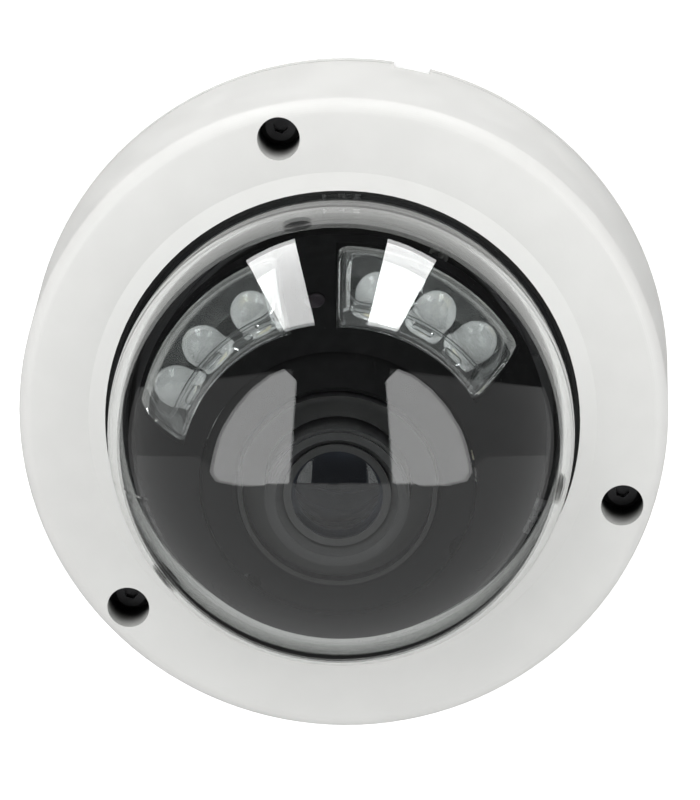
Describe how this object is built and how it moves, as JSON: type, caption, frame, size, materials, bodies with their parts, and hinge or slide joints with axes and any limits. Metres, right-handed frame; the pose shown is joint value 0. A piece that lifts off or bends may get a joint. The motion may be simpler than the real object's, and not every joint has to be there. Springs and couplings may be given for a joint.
{
  "type": "dome security camera",
  "caption": "Round vandal-resistant dome camera: white metal body, clear bubble, black pan-tilt turret with infrared lamps and zoom lens.",
  "frame": {"origin": "centre of the flat mounting face, on the dome's axis", "axes": "+Z out of the mounting face along the dome's axis through the bubble; -Y towards the turret's infrared side; +X completes the right-handed frame"},
  "size_m": [0.159, 0.159, 0.1175],
  "materials": {
    "white_housing": "fine satin powder coat",
    "black_rubber": "moulded matt rubber",
    "brass_insert": "turned",
    "circuit_board": "black solder mask",
    "bright_screw": "zinc plated",
    "dark_screw": "blackened",
    "black_chip": "moulded package",
    "thermal_pad": "soft",
    "heat_spreader": "anodised",
    "ivory_plastic": "moulded",
    "spring_steel": "bright",
    "grey_plastic": "glass-filled nylon",
    "clear_bubble": "optical polycarbonate",
    "black_shell": "fine spark-eroded texture",
    "clear_window": "clear polycarbonate",
    "lamp_board": "black solder mask",
    "lamp_chip": "chip package",
    "lamp_lens": "moulded clear lens",
    "smoked_window": "smoked",
    "black_barrel": "black anodised",
    "lens_glass": "coated optical glass",
    "filter_glass": "coated filter"
  },
  "bodies": {
    "base": {"base_plate": "white_housing", "base_wall": "white_housing", "cover_bosses": "white_housing", "bearing_legs": "white_housing", "base_gasket": "black_rubber", "thread_inserts": "brass_insert", "cable_grommet": "black_rubber", "main_board": "circuit_board", "board_screws": "bright_screw", "processor": "black_chip", "thermal_pad": "thermal_pad", "heat_spreader": "heat_spreader", "cable_header": "ivory_plastic", "card_slot": "spring_steel", "reset_switch": "spring_steel", "pan_seat_ring": "grey_plastic", "seat_ring_screws": "bright_screw", "pan_clips": "spring_steel"},
    "memory_card": {"memory_card": "black_chip"},
    "reset_plunger": {"reset_plunger": "black_chip"},
    "cover": {"cover_shell": "white_housing", "bubble": "clear_bubble", "bubble_gasket": "black_rubber", "bubble_clamp_ring": "grey_plastic", "clamp_ring_screws": "bright_screw", "cover_screws": "dark_screw", "screw_retainers": "black_rubber"},
    "pan": {"pan_yoke": "grey_plastic"},
    "tilt": {"turret_shell": "black_shell", "turret_frame": "grey_plastic", "tilt_pins": "bright_screw", "tilt_washers": "black_rubber", "face_ring": "black_shell", "ir_window_left": "clear_window", "ir_window_right": "clear_window", "ir_board_left": "lamp_board", "ir_board_right": "lamp_board", "ir_chips_left": "lamp_chip", "ir_chips_right": "lamp_chip", "ir_lenses_left": "lamp_lens", "ir_lenses_right": "lamp_lens", "light_sensor_window": "smoked_window", "light_sensor": "circuit_board"},
    "lens_unit": {"lens_mount": "black_barrel", "lens_collar": "black_rubber", "lens_housing": "black_barrel", "middle_lens": "lens_glass", "rear_lens": "lens_glass", "zoom_motor": "spring_steel", "focus_motor": "spring_steel", "filter_frame": "grey_plastic", "image_sensor": "black_chip", "sensor_board": "circuit_board", "sensor_board_screws": "bright_screw"},
    "zoom_ring": {"zoom_ring": "black_barrel"},
    "focus_ring": {"focus_ring": "black_barrel"},
    "front_group": {"front_barrel": "black_barrel", "front_bezel": "black_barrel", "front_glass": "lens_glass"},
    "filter_slider": {"filter_slider": "filter_glass"}
  },
  "joints": [
    {"name": "cover_lift", "type": "slide", "parent": "base", "child": "cover", "axis": [0, 0, 1], "range_m": [0, 0.12]},
    {"name": "memory_card_slide", "type": "slide", "parent": "base", "child": "memory_card", "axis": [-1, 0, 0], "range_m": [0, 0.013]},
    {"name": "reset_press", "type": "slide", "parent": "base", "child": "reset_plunger", "axis": [0, 0, -1], "range_m": [0, 0.0005], "stiffness_N_per_m": 800, "springref_m": -0.0006},
    {"name": "pan", "type": "hinge", "parent": "base", "child": "pan", "pos_m": [0, 0, 0.0615], "axis": [0, 0, 1], "range_deg": [-177.5, 177.5]},
    {"name": "tilt", "type": "hinge", "parent": "pan", "child": "tilt", "pos_m": [0, 0, 0.0615], "axis": [-1, 0, 0], "range_deg": [-3.5, 61.5]},
    {"name": "lens_rotate", "type": "hinge", "parent": "tilt", "child": "lens_unit", "pos_m": [0, 0, 0.0615], "axis": [0, 0.061, 0.9981], "range_deg": [-177.5, 177.5]},
    {"name": "zoom_turn", "type": "hinge", "parent": "lens_unit", "child": "zoom_ring", "pos_m": [0, 0, 0.0615], "axis": [0, 0.061, 0.9981], "range_deg": [0, 60]},
    {"name": "focus_turn", "type": "hinge", "parent": "lens_unit", "child": "focus_ring", "pos_m": [0, 0, 0.0615], "axis": [0, 0.061, 0.9981], "range_deg": [-45, 45]},
    {"name": "front_group_slide", "type": "slide", "parent": "lens_unit", "child": "front_group", "axis": [0, 0.061, 0.9981], "range_m": [-0.0026, 0]},
    {"name": "filter_shift", "type": "slide", "parent": "lens_unit", "child": "filter_slider", "axis": [1, 0, 0], "range_m": [0, 0.0125]}
  ],
  "couplings": [
    {"joint": "front_group_slide", "follows": "zoom_turn", "m_per_rad": -0.0023873}
  ]
}
